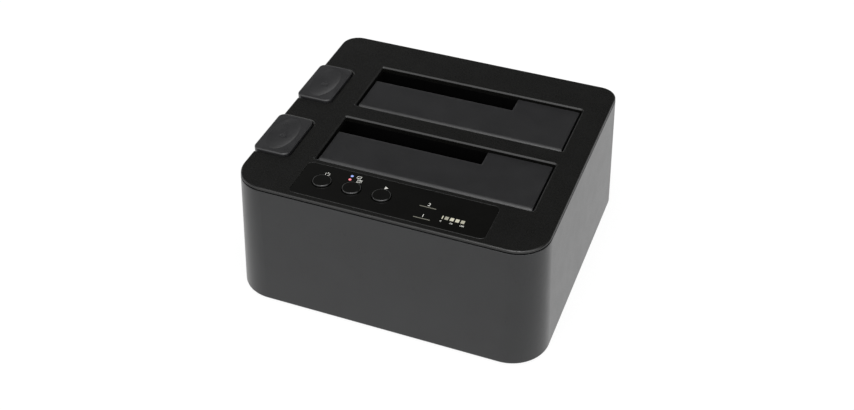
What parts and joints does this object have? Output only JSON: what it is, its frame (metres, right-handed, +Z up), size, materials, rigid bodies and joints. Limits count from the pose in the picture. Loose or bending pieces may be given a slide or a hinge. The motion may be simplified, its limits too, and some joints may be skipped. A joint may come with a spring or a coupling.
{
  "type": "hard drive docking station",
  "caption": "Flared desktop dock that holds drives upright in sprung-door bays, with eject buttons and levers, a button panel and rear ports.",
  "frame": {"origin": "middle of the footprint, on the surface that the feet stand on", "axes": "+X to the right along the front face, +Y to the rear, +Z up"},
  "size_m": [0.1514, 0.1396, 0.066],
  "materials": {
    "body_plastic": "moulded charcoal ABS, fine spark texture",
    "cover_plastic": "moulded black ABS, matt",
    "door_plastic": "moulded black ABS, soft satin",
    "button_plastic": "moulded charcoal ABS, fine texture",
    "panel_gloss": "polished black acrylic",
    "inner_plastic": "moulded black ABS",
    "lever_plastic": "natural acetal",
    "spring_steel": "drawn spring steel",
    "pin_steel": "zinc-plated steel",
    "foot_rubber": "moulded black rubber",
    "board_laminate": "green solder mask on glass laminate",
    "chip_epoxy": "black moulding",
    "crystal_can": "tinned steel",
    "capacitor_aluminium": "drawn aluminium",
    "ferrite": "pressed ferrite",
    "contact_brass": "gold-flashed brass",
    "tongue_blue": "blue moulding",
    "plunger_plastic": "black acetal",
    "light_white": "pale translucent acrylic",
    "light_blue": "blue-lit acrylic",
    "light_red": "red-lit acrylic",
    "led_ceramic": "white chip LED",
    "ribbon_grey": "grey PVC ribbon",
    "header_white": "white nylon"
  },
  "bodies": {
    "housing": {"base_plate": "body_plastic", "base_screws": "pin_steel", "bay_lights": "light_white", "blue_light_rod": "light_blue", "board_capacitors": "capacitor_aluminium", "body_shell": "body_plastic", "bridge_chip": "chip_epoxy", "button_switches": "chip_epoxy", "control_board": "board_laminate", "control_board_screws": "pin_steel", "control_panel": "panel_gloss", "crystal": "crystal_can", "dc_inlet": "chip_epoxy", "dc_inlet_pin": "crystal_can", "esata_port": "crystal_can", "esata_port_tongue": "chip_epoxy", "flash_chip": "chip_epoxy", "front_door_pin": "pin_steel", "front_door_spring": "spring_steel", "front_drive_socket": "chip_epoxy", "front_drive_well": "inner_plastic", "front_eject_spring": "spring_steel", "front_lever_axle": "pin_steel", "front_socket_contacts": "contact_brass", "light_sources": "led_ceramic", "main_board": "board_laminate", "main_board_screws": "pin_steel", "panel_controller": "chip_epoxy", "power_inductors": "ferrite", "progress_bar_lights": "light_white", "rear_door_pin": "pin_steel", "rear_door_spring": "spring_steel", "rear_drive_socket": "chip_epoxy", "rear_drive_well": "inner_plastic", "rear_eject_spring": "spring_steel", "rear_lever_axle": "pin_steel", "rear_socket_contacts": "contact_brass", "red_light_rod": "light_red", "ribbon_cable": "ribbon_grey", "ribbon_headers": "header_white", "rubber_feet": "foot_rubber", "top_cover": "cover_plastic", "usb_port": "crystal_can", "usb_port_tongue": "tongue_blue", "well_screws": "pin_steel"},
    "front_door": {"front_bay_door": "door_plastic"},
    "rear_door": {"rear_bay_door": "door_plastic"},
    "front_eject": {"front_eject_button": "button_plastic", "front_eject_clip": "spring_steel"},
    "rear_eject": {"rear_eject_button": "button_plastic", "rear_eject_clip": "spring_steel"},
    "front_lever": {"front_eject_lever": "lever_plastic"},
    "rear_lever": {"rear_eject_lever": "lever_plastic"},
    "power_key": {"power_button": "panel_gloss", "power_switch_plunger": "plunger_plastic"},
    "mode_key": {"mode_button": "panel_gloss", "mode_switch_plunger": "plunger_plastic"},
    "start_key": {"start_button": "panel_gloss", "start_switch_plunger": "plunger_plastic"}
  },
  "joints": [
    {"name": "front_door_hinge", "type": "hinge", "parent": "housing", "child": "front_door", "pos_m": [0.0081, -0.0344, 0.0608], "axis": [-1, 0, 0], "range_deg": [0, 90], "stiffness_Nm_per_rad": 0.008, "springref_deg": -28.65, "deforming": ["front_door_spring"]},
    {"name": "front_eject_press", "type": "slide", "parent": "housing", "child": "front_eject", "axis": [0, 0, -1], "range_m": [0, 0.006], "stiffness_N_per_m": 250, "springref_m": -0.005, "deforming": ["front_eject_spring"]},
    {"name": "front_lever_swing", "type": "hinge", "parent": "housing", "child": "front_lever", "pos_m": [-0.048, -0.0268, 0.013], "axis": [0, -1, 0], "range_deg": [0, 25]},
    {"name": "rear_door_hinge", "type": "hinge", "parent": "housing", "child": "rear_door", "pos_m": [0.0081, 0.0117, 0.0608], "axis": [-1, 0, 0], "range_deg": [0, 90], "stiffness_Nm_per_rad": 0.008, "springref_deg": -28.65, "deforming": ["rear_door_spring"]},
    {"name": "rear_eject_press", "type": "slide", "parent": "housing", "child": "rear_eject", "axis": [0, 0, -1], "range_m": [0, 0.006], "stiffness_N_per_m": 250, "springref_m": -0.005, "deforming": ["rear_eject_spring"]},
    {"name": "rear_lever_swing", "type": "hinge", "parent": "housing", "child": "rear_lever", "pos_m": [-0.048, 0.0196, 0.013], "axis": [0, -1, 0], "range_deg": [0, 25]},
    {"name": "power_press", "type": "slide", "parent": "housing", "child": "power_key", "axis": [0, 0, -1], "range_m": [0, 0.0005], "stiffness_N_per_m": 600, "springref_m": -0.001},
    {"name": "mode_press", "type": "slide", "parent": "housing", "child": "mode_key", "axis": [0, 0, -1], "range_m": [0, 0.0005], "stiffness_N_per_m": 600, "springref_m": -0.001},
    {"name": "start_press", "type": "slide", "parent": "housing", "child": "start_key", "axis": [0, 0, -1], "range_m": [0, 0.0005], "stiffness_N_per_m": 600, "springref_m": -0.001}
  ],
  "couplings": [
    {"joint": "front_lever_swing", "follows": "front_eject_press", "rad_per_m": 71.429},
    {"joint": "rear_lever_swing", "follows": "rear_eject_press", "rad_per_m": 71.429}
  ]
}
